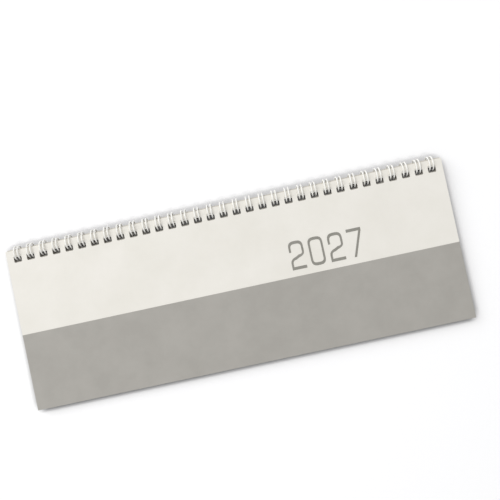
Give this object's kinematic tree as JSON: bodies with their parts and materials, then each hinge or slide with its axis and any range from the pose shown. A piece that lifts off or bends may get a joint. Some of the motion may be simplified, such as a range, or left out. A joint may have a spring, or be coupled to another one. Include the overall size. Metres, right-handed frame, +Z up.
{
  "type": "wire-bound desk calendar",
  "caption": "Slim landscape desk calendar, closed: card cover with a grey printed band over a block of leaves and a stiff back board, bound along the top by a white twin-loop wire.",
  "frame": {"origin": "centre of the bounding box at its base, on the desk that the calendar lies on", "axes": "+X along the binding, left to right as the cover is read, +Y from the cover's lower edge towards the binding, +Z up off the desk"},
  "size_m": [0.285, 0.1066, 0.0098],
  "materials": {
    "cover_card": "uncoated cream card with a faint mottle",
    "cover_print": "matt warm grey print on the card, faintly mottled",
    "figure_print": "matt grey ink",
    "leaves": "uncoated white leaves, cut edges show as fine lines",
    "back_board": "plain grey board",
    "wire": "white nylon-coated steel wire, satin"
  },
  "bodies": {
    "bound_block": {"page_block": "leaves", "back_cover": "back_board", "binding_wire": "wire"},
    "cover": {"front_cover": "cover_card", "cover_band": "cover_print", "year_numeral_1": "figure_print", "year_numeral_2": "figure_print", "year_numeral_3": "figure_print", "year_numeral_4": "figure_print"}
  },
  "joints": [
    {"name": "cover_turn", "type": "hinge", "parent": "bound_block", "child": "cover", "pos_m": [0, 0.04854, 0.00486], "axis": [-1, 0, 0], "range_deg": [0, 180]}
  ]
}
